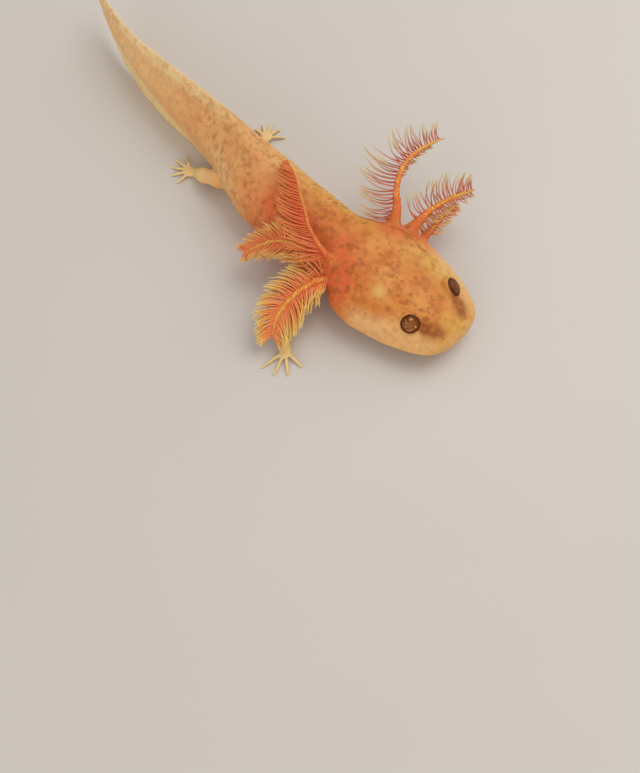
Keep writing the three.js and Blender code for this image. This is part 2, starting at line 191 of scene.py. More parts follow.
def spine(s):
    """The middle line seen from above: its points, and the direction to the animal's left."""
    s = np.asarray(s, float)
    sideways = SPINE_Y(s + SPINE_STEP / 2) - SPINE_Y(s - SPINE_STEP / 2)
    back = unit(np.stack([np.full_like(s, -SPINE_STEP), sideways], axis=-1))
    middle = np.stack([np.interp(s, spine_steps, spine_xs), SPINE_Y(s)], axis=-1)
    return middle, np.stack([back[..., 1], -back[..., 0]], axis=-1)


def placed(s, sideways, height):
    """Points of the upright sections at s, from their sideways places and heights."""
    s, sideways, height = np.broadcast_arrays(s, sideways, height)
    middle, left = spine(s)
    across = sideways + LEAN(s) * (height - WIDEST(s))
    flat = middle + left * across[..., None]
    return np.concatenate([flat, np.maximum(height, 0)[..., None]], axis=-1)


def body_rings(s, sides):
    """The body's closed sections at the stations s, each from the left side over the back."""
    s = np.asarray(s, float)[:, None]
    angle = 2 * np.pi * np.arange(sides) / sides
    up = np.sin(angle) >= 0
    exponent = 2 / np.where(up, UPPER_FULLNESS(s), LOWER_FULLNESS(s))
    reach = np.where(up, TOP(s) - WIDEST(s), WIDEST(s) - BOTTOM(s))
    across = HALF_WIDTH(s) * power(np.cos(angle), exponent)
    return placed(s, across, WIDEST(s) + reach * power(np.sin(angle), exponent))


def body_places(points):
    """For each point: s, the distance to the left of the middle line, and how far outside the flesh it is."""
    stations = np.arange(0, LENGTH + 0.01, 0.25)
    middle, _ = spine(stations)
    nearest, _ = closest(points * (1, 1, 0), np.pad(middle, ((0, 0), (0, 1))))
    s = stations[nearest]
    for _ in range(2):
        middle, left = spine(s)
        forward = np.stack([left[:, 1], -left[:, 0]], axis=-1)
        s = np.clip(s - ((points[:, :2] - middle) * forward).sum(-1), 0, LENGTH)
    middle, left = spine(s)
    z = points[:, 2]
    across = ((points[:, :2] - middle) * left).sum(-1) - LEAN(s) * (z - WIDEST(s))
    up = z >= WIDEST(s)
    fullness = np.where(up, UPPER_FULLNESS(s), LOWER_FULLNESS(s))
    reach = np.where(up, TOP(s) - WIDEST(s), WIDEST(s) - BOTTOM(s))
    wide, high = np.abs(across) / HALF_WIDTH(s), np.abs(z - WIDEST(s)) / reach
    level = (wide**fullness + high**fullness) ** (1 / fullness)
    outside = (level - 1) * np.hypot(across, z - WIDEST(s)) / np.maximum(level, 1e-6)
    return s, across, outside


def closest(points, targets):
    """For each point, which target is nearest, and how far it is."""
    tree = KDTree(len(targets))
    for i, target in enumerate(targets):
        tree.insert(target, i)
    tree.balance()
    found = [tree.find(point) for point in points]
    return np.array([f[1] for f in found]), np.array([f[2] for f in found])


# The solids put the origin under the middle of the whole animal. Its neck, built here from the
# same tables, tells how far that is from the hips.
NECK = (14.2 + GAP, 19.2)
NECK_STEPS = 3
SOLID_SIDES = 20
neck_rings = body_rings(np.linspace(*NECK, NECK_STEPS + 1), SOLID_SIDES).reshape(-1, 3)
OFFSET = np.array(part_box("neck")[0]) - neck_rings.min(axis=0) * MM


def to_frame(points):
    return points * MM + OFFSET


# ---- gills, limbs and eyes
STALK_WIDTH = profile([(0, 1.05), (0.14, 0.56), (0.32, 0.38), (0.7, 0.26), (1, 0.11)])  # half


def fringe(out_start, out_end, length, span, sweep):
    """A row of filaments along the span of its stalk. They point from out_start to out_end, swept
    towards its tip at start and end. Their length is given at start, middle and end.
    """
    return dict(out=(out_start, out_end), length=length, span=span, sweep=sweep)


# Filaments lie in "layers", "pitch" apart along the stalk and "girth" times as thick as plain ones,
# "ember" orange and "flush" red. The stalk is "stalk" times as wide, "glint" times as strong in its golden
# flecks and painted glints, and turns yellowish from "yellow_from" of its length on.
GILLS = {
    "left_back": dict(
        path=[
            (20.4, 2.2, 5.4), (19.4, 3.7, 7.1), (17.8, 5.1, 8.1), (16.5, 7.1, 8.6),
            (15.8, 9.3, 8.6), (15.5, 11.6, 8.2), (15.6, 14, 7.7), (15.8, 15.8, 7.2),
        ],
        pitch=0.46, girth=0.9, layers=2, yellow_from=0.4, glint=0.7,
        fringes=[
            fringe((-0.7, -0.72, 0), (-0.72, 0.68, 0.1), (6.6, 5.6, 2.8), (0.06, 0.93), (-0.25, 0.5)),
            fringe((0.9, 0.35, -0.2), (0.92, -0.1, -0.36), (0.9, 1.6, 0.8), (0.38, 0.8), (0.6, 0.9)),
        ],
    ),
    "left_middle": dict(
        path=[(21.9, 3.6, 4.8), (22.1, 6.8, 6.3), (22.7, 9.2, 7), (23.3, 11.2, 7), (23.8, 13.2, 6.6)],
        pitch=0.42, girth=0.9, layers=2,
        fringes=[
            fringe((-0.8, 0.1, 0.35), (-0.65, 0.6, 0.4), (4.4, 4, 2.4), (0.12, 0.94), (0, 0.4)),
            fringe((0.86, -0.3, -0.5), (0.86, 0.1, -0.5), (2.2, 1.9, 1), (0.14, 0.9), (0.4, 0.7)),
        ],
    ),
    "left_front": dict(
        path=[(23.4, 4, 3.4), (23, 7.2, 3.9), (22.7, 9.7, 4.1), (22.7, 12, 3.7)],
        pitch=0.38, girth=1, layers=2, ember=0.7,
        fringes=[
            fringe((-0.8, 0.1, -0.2), (-0.7, 0.6, 0), (2.6, 2.4, 1.3), (0.15, 0.93), (0.2, 0.6)),
            fringe((0.85, -0.2, -0.4), (0.8, 0.2, -0.4), (1.6, 1.8, 1.1), (0.2, 0.92), (0.4, 0.7)),
        ],
    ),
    "right_back": dict(
        path=[
            (19.6, -6.4, 5.6), (18.4, -7.7, 8.2), (15.5, -7.2, 9.3), (12.2, -5.4, 9.7),
            (8.5, -3.3, 9.8), (6.8, -2.7, 9.6), (5.8, -2.3, 9.35),
        ],
        pitch=0.28, girth=0.85, layers=4, stalk=0.66, ember=1, flush=0.68, glint=0.25,
        fringes=[
            fringe((-0.4, -0.85, -0.3), (-0.5, -0.8, -0.4), (4.8, 4.6, 0.5), (0.1, 0.9), (0.9, 0.8)),
        ],
    ),
    "right_middle": dict(
        path=[
            (19, -6.4, 4), (17.5, -8, 5.6), (15.5, -8.6, 6.7), (12.9, -9.8, 6.3),
            (11.2, -11.4, 5.2), (9.9, -13.6, 4),
        ],
        pitch=0.24, girth=0.85, layers=5, ember=1, flush=0.25,
        fringes=[
            fringe((-0.75, 0.35, 0.2), (-0.8, 0.2, 0.25), (2.2, 3.4, 1.8), (0.15, 0.96), (0.3, 0.9)),
            fringe((0.2, -0.85, -0.35), (0.3, -0.8, -0.4), (3.8, 3.4, 1.8), (0.15, 0.96), (0.3, 0.9)),
        ],
    ),
    "right_front": dict(
        path=[
            (21.3, -7.4, 4.1), (19.8, -9.2, 4.9), (19.3, -11.4, 5), (19.1, -13.5, 4.5),
            (19.2, -15.3, 3.8), (19.9, -17, 3), (20.6, -18, 2.2),
        ],
        pitch=0.24, girth=0.88, layers=5, ember=1,
        fringes=[
            fringe((-0.94, -0.1, 0.2), (-0.7, -0.65, 0), (4.8, 4.4, 2.4), (0.08, 0.97), (0.3, 0.9)),
            fringe((0.94, 0.1, -0.35), (0.8, 0.4, -0.15), (2.6, 4.9, 2.4), (0.14, 0.97), (0.3, 0.9)),
        ],
    ),
}

# Limbs: "radius" is given at the path's start, knee and ankle. Palms and digits lie on the floor.
KNEE = 0.52
LIMBS = {
    "foreleg_right": dict(
        path=[(18, -6.4, 2.8), (17.9, -9.2, 2.6), (18.2, -12.2, 2.4), (19.7, -14.6, 1.6),
              (21.6, -16.6, 0.75)],
        radius=(1.1, 0.85, 0.7), palm=(22.3, -17.4),
        digits=[(21.9, -21), (23.7, -20.6), (24.9, -19.3), (25.3, -17.2)],
    ),
    "foreleg_left": dict(
        path=[(17.8, -1.8, 2.6), (16.6, -0.6, 2.3), (15.2, 0.2, 1.7), (13.2, 0.5, 1.1), (11.4, 0.5, 0.75)],
        radius=(1.1, 0.85, 0.7), palm=(10.4, 0.6),
        digits=[(6.9, -0.7), (6.6, 0.4), (7.1, 1.5), (8.3, 2.2)],
    ),
    "hindleg_right": dict(
        path=[(-0.2, -6, 3.4), (-1.2, -7.6, 3.1), (-3, -8.3, 2.4), (-4.4, -8.4, 1.5), (-5.6, -8.5, 0.75)],
        radius=(1.4, 1, 0.75), palm=(-6.5, -8.7),
        digits=[(-9.2, -7.5), (-9.7, -8.8), (-9.2, -10.1), (-8.1, -11), (-6.5, -11.2)],
    ),
    "hindleg_left": dict(
        path=[(-0.8, -3.4, 3.4), (-1.2, -1.6, 3), (-2, -0.3, 2.4), (-2.9, 0.7, 1.5), (-3.7, 1.7, 0.75)],
        radius=(1.4, 1, 0.75), palm=(-4.1, 2.4),
        digits=[(-6.5, 2.5), (-6.4, 3.8), (-5.5, 4.8), (-4.1, 5.1), (-2.5, 4.6)],
    ),
}
PALM_HALF_HEIGHT = 0.42
DIGIT_ROOT = 0.21  # half thickness
DIGIT_TIP = 0.13
DIGIT_GIRTH = profile([
    (0, DIGIT_ROOT), (0.45, DIGIT_ROOT * 0.9), (0.6, DIGIT_ROOT * 0.78), (0.8, DIGIT_TIP * 1.25),
    (1, DIGIT_TIP),
])

EYE_RADIUS = 1.45
EYE_MOUND = 0.06  # how much larger the flesh under the rim is than the globe
EYE_SIDES = 72
EYE_FLATNESS = 0.74  # the globe's depth along its gaze, as a share of its width
EYE_SHOWN = 1.2  # radius of the part that the skin leaves bare
EYE_REACH = 3.6  # how far from the globe's middle the skin is fitted to it
EYE_BACK = 2.1  # and how far from its gaze
EYE_POCKET = 0.25  # how deep the skin lies under the bare part
RIM_GAP = 0.03
RIM_LIFT = 0.08
EYE_SUNK = EYE_FLATNESS * (EYE_RADIUS**2 - EYE_SHOWN**2) ** 0.5 - 0.08
# The left eye, on the far side of the head, is given painted shade: a fainter golden ring and a darker
# colour.
EYES = {
    "left": dict(centre=(31.3, 1.8, 5), gaze=(0.46, 0.5, 0.64), gold_and_light=0.3),
    "right": dict(centre=(31.4, -5.6, 5), gaze=(0.46, -0.5, 0.64), gold_and_light=1),
}

HEAD_FORMS = [  # height, s, distance from the middle line, stretch along s and width
    (0.28, 10.6, 4.3, 1.4, 2.1),  # jaw muscles
    (0.2, 14.4, 3.4, 0.9, 1.6),  # above the gill roots
    (-0.14, 6.6, 0, 1.5, 1.6),  # between the eyes
    (0.12, 2.9, 0, 1.2, 1.3),  # snout
    (-0.13, 3.2, 3.6, 1.2, 1.1),  # before the eyes
]
RIB_STEP = 1.32
MOUTH_CORNER = 7.8
MOUTH_HEIGHT = 2.7
MOUTH_SAG = 0.35


def gill_values(key, default):
    return np.array([gill.get(key, default) for gill in GILLS.values()])


# ---- meshes from rings
class Shells:
    """Closed shells gathered into one mesh, each a stack of rings."""

    def __init__(self):
        self.points, self.faces, self.count = [], [], 0

    def add(self, rings):
        rows, sides = rings.shape[:2]
        index = np.arange(rows * sides).reshape(rows, sides) + self.count
        after = np.roll(index, -1, axis=1)
        quads = np.stack([index[:-1], after[:-1], after[1:], index[1:]], axis=-1).reshape(-1, 4)
        self.faces += quads.tolist() + [index[0][::-1].tolist(), index[-1].tolist()]
        self.points.append(rings.reshape(-1, 3))
        self.count += rows * sides

    def mesh(self, name, transform=None):
        points = np.concatenate(self.points)
        mesh = bpy.data.meshes.new(name)
        mesh.from_pydata(transform(points) if transform else points, [], self.faces)
        mesh.validate()
        return mesh


def tube_rings(path, size, sides=20, rings=36, round_start=False):
    """Rings round a path, rounded off at its end. size(t) gives half width and half height."""
    t = (1 - np.cos(np.linspace(0, np.pi, rings))) / 2
    centre, along = path.at(t), path.along(t)
    width = unit(np.cross([0, 0, 1], along))
    height = np.cross(along, width)
    sizes = np.stack(np.broadcast_arrays(*size(t)), axis=-1)
    for distance in (t, 1 - t) if round_start else (1 - t,):
        reach = sizes[np.argmin(distance)].mean()
        near = np.clip(distance * path.length / reach, 0, 1)
        sizes = sizes * np.sqrt(np.clip(1 - (1 - near) ** 2, 0.002, 1))[:, None]
    angle = 2 * np.pi * np.arange(sides) / sides
    ring = width[:, None] * (sizes[:, :1] * np.cos(angle))[..., None]
    return centre[:, None] + ring + height[:, None] * (sizes[:, 1:] * np.sin(angle))[..., None]


def add_fin(shells, flesh, height, span, up, ripple):
    """A crest on the middle line that thins smoothly from the flesh to its slightly wavy edge."""
    along, end = np.arange(span[0], LENGTH - 1, 0.4), np.linspace(LENGTH - 1, LENGTH - 0.05, 9)
    s = np.concatenate([along, end])[:, None]
    rise = np.concatenate([np.linspace(0, 1, FIN_STEPS), np.linspace(1, 0, FIN_STEPS)])
    side = np.repeat([1, -1], FIN_STEPS)
    base = HALF_WIDTH(s) * 0.8
    thin = mix(FIN_BASE, FIN_EDGE, smooth(BACK_FIN_SPAN[0] + 2, BELLY_FIN_SPAN[1], s))
    half = thin + np.maximum(base - thin, 0) * (1 - rise) ** 1.15
    half = half * np.where(rise == 1, 0.45, 1)
    wave = ripple * rise**2 * np.sin(s * 0.95 + 1.2 * np.sin(s * 0.31))
    deeper = np.maximum if up > 0 else np.minimum
    root = deeper(flesh(s) - up * FIN_ROOT_DEPTH, (TOP(s) + BOTTOM(s)) / 2)
    tip = np.sqrt(np.clip((LENGTH - s) / TIP_LENGTH, 0, 1))
    edge = flesh(s) + up * (height(s) + GAP) * smooth(*span, s) * tip
    shells.add(placed(s, side * half + wave, mix(root, edge, rise)))


def add_hand(shells, path, limb):
    """A low palm that widens from the ankle, with slender digits that lie on the floor."""
    ankle = limb["radius"][2]
    middle = np.array([*limb["palm"], PALM_HALF_HEIGHT])
    tips = np.array([(*tip, DIGIT_TIP) for tip in limb["digits"]])
    front = mix(middle, tips.mean(axis=0), 0.3)
    sole = Path([path.at(0.86), path.at(1.0), middle, front])
    palm_width = profile([(0, ankle * 0.95), (0.35, ankle * 0.75), (0.75, ankle * 1.12), (1, ankle)])
    shells.add(tube_rings(sole, lambda t: (palm_width(t), mix(ankle * 0.9, PALM_HALF_HEIGHT * 0.8, t))))
    for tip in tips:
        heading = unit(tip - middle)
        knuckle, last_joint = mix(middle, tip, 0.42) + (0, 0, 0.14), mix(middle, tip, 0.75) + (0, 0, 0.02)
        bone = Path([middle - heading * 0.2, knuckle, last_joint, tip - heading * DIGIT_TIP / 2])
        size = lambda t: (DIGIT_GIRTH(t) * 1.08, DIGIT_GIRTH(t) * 0.92)
        shells.add(tube_rings(bone, size, sides=14, rings=24))


def globe(eye):
    gaze = unit(eye["gaze"])
    return gaze, np.array(eye["centre"]) - gaze * EYE_SUNK


def globe_rings(eye, radius, angle, sides):
    """Rings of a flattened globe, each at an angle from its gaze."""
    gaze, centre = globe(eye)
    side = unit(np.cross(gaze, [0, 0, 1]))
    spin = 2 * np.pi * np.arange(sides) / sides
    around = side * np.cos(spin)[:, None] + np.cross(side, gaze) * np.sin(spin)[:, None]
    ahead = gaze * EYE_FLATNESS * np.cos(angle)[:, None, None]
    return centre + radius * (ahead + around * np.sin(angle)[:, None, None])


def flesh_shells():
    """Body, fins, limbs, gill stalks and eye mounds as overlapping closed shells."""
    shells = Shells()
    close = np.concatenate([[0, 0.05, 0.12, 0.22], np.arange(0.35, 3, 0.15)])
    shells.add(body_rings(np.concatenate([close, np.arange(3, LENGTH, 0.3), [LENGTH]]), 96))
    add_fin(shells, TOP, BACK_FIN, BACK_FIN_SPAN, 1, 0.04)
    add_fin(shells, BOTTOM, BELLY_FIN, BELLY_FIN_SPAN, -1, 0.06)
    for eye in EYES.values():
        shells.add(globe_rings(eye, EYE_RADIUS + EYE_MOUND, np.linspace(0.02, 3.12, 50), 60))
    for gill in GILLS.values():
        width = lambda t: STALK_WIDTH(t) * gill.get("stalk", 1)
        shells.add(tube_rings(Path(gill["path"]), lambda t: (width(t), width(t)), sides=24, rings=60))
    for limb in LIMBS.values():
        path = Path(limb["path"])
        start, knee, ankle = limb["radius"]
        thigh, shin = (0.25, start * 0.98), (KNEE + 0.12, knee * 1.06)
        girth = profile([(0, start), thigh, (KNEE - 0.06, knee * 0.98), shin, (0.93, ankle), (1, ankle)])
        shells.add(tube_rings(path, lambda t: (girth(t), girth(t)), sides=28, rings=50, round_start=True))
        add_hand(shells, path, limb)
    return shells


# ---- one skin over all the flesh
def read(items, key, width, kind=float):
    """What Blender holds under that key for each item, one row for each."""
    values = np.empty(len(items) * width, kind)
    items.foreach_get(key, values)
    return values.reshape(-1, width)


def add_object(name, data):
    added = bpy.data.objects.new(name, data)
    bpy.context.scene.collection.objects.link(added)
    return added


class Surface:
    """The skin's points while it is worked on, and how they are joined."""

    def __init__(self, mesh):
        self.mesh = mesh
        self.points = read(mesh.vertices, "co", 3)
        self.edges = read(mesh.edges, "vertices", 2, int)
        self.degree = np.bincount(self.edges.ravel(), minlength=len(self.points))[:, None]

    def neighbours_mean(self, values):
        first, second = self.edges.T
        count = len(values)
        columns = [
            np.bincount(first, column[second], count) + np.bincount(second, column[first], count)
            for column in values.T
        ]
        return np.stack(columns, axis=-1) / self.degree

    def relax(self, strength, rounds):
        strength = np.broadcast_to(strength, len(self.points))[:, None]
        for _ in range(rounds):
            self.points += strength * (self.neighbours_mean(self.points) - self.points)

    def even_out(self, rounds):
        """Takes out small steps without shrinking what is thin."""
        for _ in range(rounds):
            self.relax(0.5, 1)
            self.relax(-0.52, 1)

    def normals(self):
        self.store()
        return read(self.mesh.vertex_normals, "vector", 3)

    def store(self, transform=lambda points: points):
        self.mesh.vertices.foreach_set("co", transform(self.points).astype(np.float32).ravel())
        self.mesh.update()


def remeshed(mesh):
    """One closed surface round overlapping shells, at the voxel size."""
    shell_object = add_object("shells", mesh)
    modifier = shell_object.modifiers.new("voxels", "REMESH")
    modifier.mode = "VOXEL"
    modifier.voxel_size = VOXEL
    evaluated = shell_object.evaluated_get(bpy.context.evaluated_depsgraph_get())
    result = bpy.data.meshes.new_from_object(evaluated)
    bpy.data.objects.remove(shell_object)
    return result


def tube_places(points, paths, radius):
    """For each point: which path is nearest, its t there, and how far outside that tube it is."""
    steps = 120
    targets = np.concatenate([path.at(np.linspace(0, 1, steps + 1)) for path in paths])
    nearest, distance = closest(points, targets)
    which, step = np.divmod(nearest, steps + 1)
    t = step / steps
    return which, t, distance - radius(which, t)


def limb_radius(which, t):
    start, knee, ankle = np.array([limb["radius"] for limb in LIMBS.values()])[which].T
    return np.where(t < KNEE, mix(start, knee, t / KNEE), mix(knee, ankle, (t - KNEE) / (1 - KNEE)))


class Places:
    """Where each point of the skin lies on the animal. Its height stays true when it is moved."""

    def __init__(self, points):
        self.points = points
        self.z = points[:, 2]  # a view, so it follows the points
        self.s, self.across, self.outside = body_places(points)
        stalks = [Path(gill["path"]) for gill in GILLS.values()]
        girths = gill_values("stalk", 1)
        stalk_radius = lambda which, t: STALK_WIDTH(t) * girths[which]
        self.stalk, self.stalk_t, self.off_stalk = tube_places(points, stalks, stalk_radius)
        limbs = [Path(limb["path"]) for limb in LIMBS.values()]
        _, self.limb_t, self.off_limb = tube_places(points, limbs, limb_radius)
        _, off_palm = closest(points, np.array([(*limb["palm"], 0.3) for limb in LIMBS.values()]))
        free = smooth(0.1, 0.5, self.outside)
        self.on_hand = smooth(1.2, 0.5, self.z) * smooth(4.6, 4.2, off_palm) * free
        self.on_stalk = free * smooth(0.9, 0.4, self.off_stalk) * smooth(0.02, 0.1, self.stalk_t)
        self.on_limb = most(free * smooth(0.9, 0.4, self.off_limb), self.on_hand)
        self.on_body = 1 - most(self.on_stalk, self.on_limb)
        flesh = np.where(self.above > 0, TOP(self.s), BOTTOM(self.s))
        beyond = np.abs(self.above) - np.abs(flesh - WIDEST(self.s))
        on_line = smooth(0.9, 0.5, np.abs(self.across)) * smooth(BACK_FIN_SPAN[0], 31, self.s)
        self.on_fin = self.on_body * on_line * smooth(-0.25, 0.5, beyond)

    @property
    def above(self):
        return self.z - WIDEST(self.s)

    @property
    def rise(self):
        return self.above / (TOP(self.s) - WIDEST(self.s))


def every(step, distance, width):
    """A ridge at each whole number of steps along the distance."""
    phase = distance / step
    return bell((phase - np.round(phase)) * step, width)


def relief(place):
    """How far the skin stands out, in mm: folds, grooves, muscles and small lumps."""
    s, z, rise, side = place.s, place.z, place.rise, np.abs(place.across)
    body = place.on_body * (1 - place.on_fin)

    lip = z - MOUTH_HEIGHT + MOUTH_SAG * np.sin(np.pi * np.clip(s / MOUTH_CORNER, 0, 1))
    closed = smooth(MOUTH_CORNER + 0.5, MOUTH_CORNER - 0.4, s)
    out = -0.24 * bell(lip, 0.13) * closed
    out += (0.1 * bell(lip - 0.42, 0.3) + 0.05 * bell(lip + 0.36, 0.26)) * closed * smooth(0.1, 2.2, s)
    out -= 0.16 * bell(np.hypot(s - MOUTH_CORNER - 0.2, lip - 0.1), 0.4) * (side > 3)
    nostril = np.hypot(np.hypot((s - 0.95) * 0.8, side - 2), (z - 4.25) * 0.7)
    out += (0.06 * bell(nostril, 0.5) - 0.34 * bell(nostril, 0.18)) * (z > 3.4)

    upper = smooth(3.4, 4.6, z)
    for height, at, off, stretch, width in HEAD_FORMS:
        out += height * bell(np.hypot((s - at) / stretch, side - off), width) * upper
    out -= 0.1 * bell(side, 0.9) * smooth(7, 11, s) * smooth(32, 26, s) * upper  # furrow down the back
    out -= 0.3 * bell(s - 13.6 - 0.05 * side, 0.3) * smooth(3.2, 1.8, z)  # fold under the throat
    out -= 0.12 * bell(s - 17.2, 0.4) * smooth(1, 2.6, side) * smooth(6.5, 4, z)

    groove = every(RIB_STEP, s - 20.6 + 0.5 * (rise - 0.1) ** 2, 0.2)  # between the ribs
    ribbed = smooth(20, 21, s) * smooth(38, 36.5, s) * smooth(0.93, 0.55, rise)
    out -= 0.13 * groove * ribbed * smooth(0.4, 1.6, z)
    chevron = every(RIB_STEP, s - 39 - 0.9 * np.abs(rise), 0.22)  # muscles of the tail
    out -= 0.07 * chevron * smooth(38.4, 40, s) * smooth(72, 64, s) * smooth(0.95, 0.6, np.abs(rise))
    out -= 0.05 * bell(place.above, 0.35) * smooth(30, 38, s) * smooth(72, 60, s)  # side line of the tail
    out += 0.4 * bell(np.hypot((s - 41.6) / 1.7, side), 0.8) * smooth(1.6, 0.9, z)  # vent
    out = np.where(s < 0.6, np.minimum(out, 0), out) * body

    lumps = 0.03 * waves(place.points, 3.2, 1) + 0.012 * waves(place.points, 1.1, 2)
    out += lumps * body * smooth(0, 0.4, z) * smooth(0.2, 1.5, s)
    leg = place.on_limb * (1 - place.on_hand)
    out += 0.02 * waves(place.points, 1.1, 3) * leg
    ridge = 0.05 * waves(place.points, 0.7, 5) + 0.04 * waves(place.points, 0.4, 6)
    out += ridge * place.on_stalk * smooth(0.04, 0.2, place.stalk_t) * smooth(1, 0.85, place.stalk_t)
    out += 0.02 * waves(np.stack([s, z * 0.25, z * 0], axis=-1), 0.8, 4) * place.on_fin  # fin rays
    return out - 0.07 * bell(place.limb_t - KNEE, 0.03) * leg  # crease of the knee


def stretched(offset, gaze, factor):
    return offset + gaze * ((offset @ gaze) * (factor - 1))[:, None]


def seat_eyes(points):
    """Sinks the skin under each eyeball and lifts a thin rim of it up round the eye."""
    rim_angle = np.arcsin(EYE_SHOWN / EYE_RADIUS)
    for eye in EYES.values():
        gaze, centre = globe(eye)
        near = np.linalg.norm(points - centre, axis=1) < EYE_REACH
        offset = stretched(points[near] - centre, gaze, 1 / EYE_FLATNESS)
        before = np.linalg.norm(offset, axis=1)
        angle = np.arccos(np.clip(offset @ gaze / before, -1, 1))
        off_rim = angle - rim_angle
        lifted = EYE_RADIUS + RIM_GAP + RIM_LIFT * bell(off_rim - 0.12, 0.16)
        cover = (before + lifted + np.sqrt((before - lifted) ** 2 + 0.02)) / 2
        after = mix(before, cover, smooth(EYE_BACK, EYE_BACK - 0.4, angle))
        after = mix(EYE_RADIUS - EYE_POCKET, after, smooth(-0.05, 0.02, off_rim))
        after = np.where(angle < EYE_BACK, after, before)
        angle = rim_angle + off_rim * np.minimum(np.abs(off_rim) / 0.13, 1)
        aside = unit(offset - gaze * (offset @ gaze)[:, None])
        moved = gaze * np.cos(angle)[:, None] + aside * np.sin(angle)[:, None]
        points[near] = centre + stretched(moved * after[:, None], gaze, EYE_FLATNESS)


def add_skin(material):
    mesh = remeshed(flesh_shells().mesh("flesh"))
    surface = Surface(mesh)
    surface.even_out(6)
    place = Places(surface.points)
    off_part = np.minimum(np.abs(place.off_stalk), np.abs(place.off_limb))
    join = bell(np.abs(place.outside) + off_part, 1.0)
    central = smooth(1.2, 0.6, np.abs(place.across))
    fin_join = bell(place.outside, 0.7) * central * smooth(BACK_FIN_SPAN[0] + 1, BACK_FIN_SPAN[1], place.s)
    surface.relax(0.55 * np.clip(join + 0.8 * fin_join, 0, 1), 26)
    tail_join = bell(place.outside, 0.9) * central * smooth(38, BELLY_FIN_SPAN[1], place.s)
    surface.relax(0.5 * tail_join, 40)
    surface.relax(0.35 * (1 - place.on_hand) * (1 - place.on_fin), 3)
    place = Places(surface.points)
    surface.points += surface.normals() * relief(place)[:, None]
    seat_eyes(surface.points)
    height = np.maximum(surface.points[:, 2], 0)
    surface.points[:, 2] = height * smooth(0, 0.05, height)
    mark(mesh, skin_marks(place, surface.normals()[:, 2]))
    surface.store(to_frame)
    return finished("skin", mesh, material)


# ---- markings
def skin_marks(place, facing_up):
    """Where the skin is red, pale, yellowish, brown or speckled, and where it carries a painted rim light or
    painted glints, each from 0 to 1.
    """
    s, across, z, side = place.s, place.across, place.z, np.abs(place.across)
    body, limb, rise = place.on_body, place.on_limb, place.rise
    lower_limb = smooth(0.1, 0.7, place.limb_t)
    drift = waves(place.points, 5, 11) * 0.35
    roots = np.array([Path(gill["path"]).at(0.06) for gill in GILLS.values()])
    _, off_root = closest(place.points, roots)

    gill_root = bell(off_root, np.where(across < 0, 4.4, 3.8)) * (1 + drift)
    stalk = 1.15 * place.on_stalk * smooth(0.95, 0.1, place.stalk_t + 0.12 * drift)
    flank = bell(s - 25, 8) * smooth(1.8, -2, across) * 0.85 * (1 + drift)
    red = most(gill_root, stalk, flank * body) * (1 - 0.8 * limb) * (1 - 0.6 * bell(s - 36, 5))

    under = smooth(0.1, -0.75, rise + 0.15 * drift)
    cheek = smooth(13.5, 10.5, s) * smooth(mix(1.2, 2.3, smooth(2, 7, s)), 4.6, side) * smooth(6, 4.4, z)
    lip = smooth(3.4, 1, s) * smooth(4.8, 3.4, z)
    hip = bell(s - 37, 4.5) * smooth(-1, -3, across) * smooth(7.5, 5.5, z)
    patch = bell(np.hypot((s - 10.3) / 1.2, across + 3.5), 0.75)  # behind the right eye
    pale = most(under, 0.85 * cheek, 0.7 * lip, 0.85 * hip, 0.55 * patch) * body
    pale = most(pale, limb * mix(0.55, 1, lower_limb))

    # painted rim light: a yellowish band on the upper left flank, the side that faces the key light
    lit = body * bell(np.arctan2(place.above, across) - 0.45, 0.5) * smooth(2, 6, s) * smooth(70, 56, s)
    snout = 0.8 * body * smooth(4.2, 0.6, s)
    yellow_from = gill_values("yellow_from", 0.1)[place.stalk]
    stalk_end = place.on_stalk * smooth(yellow_from, yellow_from + 0.5, place.stalk_t)
    yellow_and_rim_light = most(most(lit, snout) * (1 - 0.5 * lip), 0.7 * patch * body, stalk_end)

    line = (4.6 - s) / 3.6  # from the eyes to the nostrils
    streak = bell(side - mix(3.45, 1.75, np.clip(line, 0, 1)) - 0.3 * drift, 0.85)
    streak = 1.25 * streak * smooth(-0.2, 0.25, line) * smooth(1.15, 0.75, line) * smooth(3.2, 4.2, z)
    band = bell(rise + 0.25, 0.35) * smooth(24, 32, s) * smooth(74, 66, s)
    brown = most(streak, 0.26 * band * (1 + drift)) * body

    speckle = body * smooth(-0.35, 0.35, rise) * (1 - 0.5 * smooth(5, 1, s)) * (1 - 0.6 * cheek)
    speckle = speckle * mix(1, 0.72, smooth(18, 26, s)) * mix(1, 0.35, smooth(34, 56, s)) * (1 - patch)

    # painted glints: golden highlights on the upward-facing sides of the stalks and round the gill roots,
    # over real golden flecks
    along = smooth(0.06, 0.3, place.stalk_t) * smooth(1, 0.6, place.stalk_t)
    glint = place.on_stalk * along * smooth(0.4, 0.9, facing_up) * gill_values("glint", 1)[place.stalk]
    glint += 0.3 * bell(off_root, 1.4) * smooth(0.2, 0.8, rise)

    reach = np.where(place.above > 0, TOP(s) + BACK_FIN(s), BOTTOM(s) - BELLY_FIN(s))
    edge = smooth(1.6, 0.2, np.abs(reach - z))
    fin = np.maximum(edge, 0.5) * place.on_fin * smooth(34, 48, s)
    fin = most(fin, 0.75 * body * smooth(0, -0.85, rise) * smooth(37, 44, s))
    sunny = 1 - 0.55 * yellow_and_rim_light * smooth(52, 44, s)
    tail = mix(0.5, 1, smooth(40, 66, s)) * smooth(22, 33, s) * (1 - 0.5 * flank) * sunny * body
    return {
        "red": red, "pale": pale, "yellow_and_rim_light": yellow_and_rim_light, "brown": brown, "speckle": speckle,
        "glint": glint, "fin": fin, "tail": tail, "digit": most(place.on_hand, 0.5 * limb * lower_limb),
    }


def mark(mesh, marks):
    for name, values in marks.items():
        attribute = mesh.attributes.new(name, "FLOAT", "POINT")
        attribute.data.foreach_set("value", np.clip(values, 0, 1).astype(np.float32))


def finished(name, mesh, material):
    mesh.shade_smooth()
    mesh.materials.append(material)
    return add_object(name, mesh)


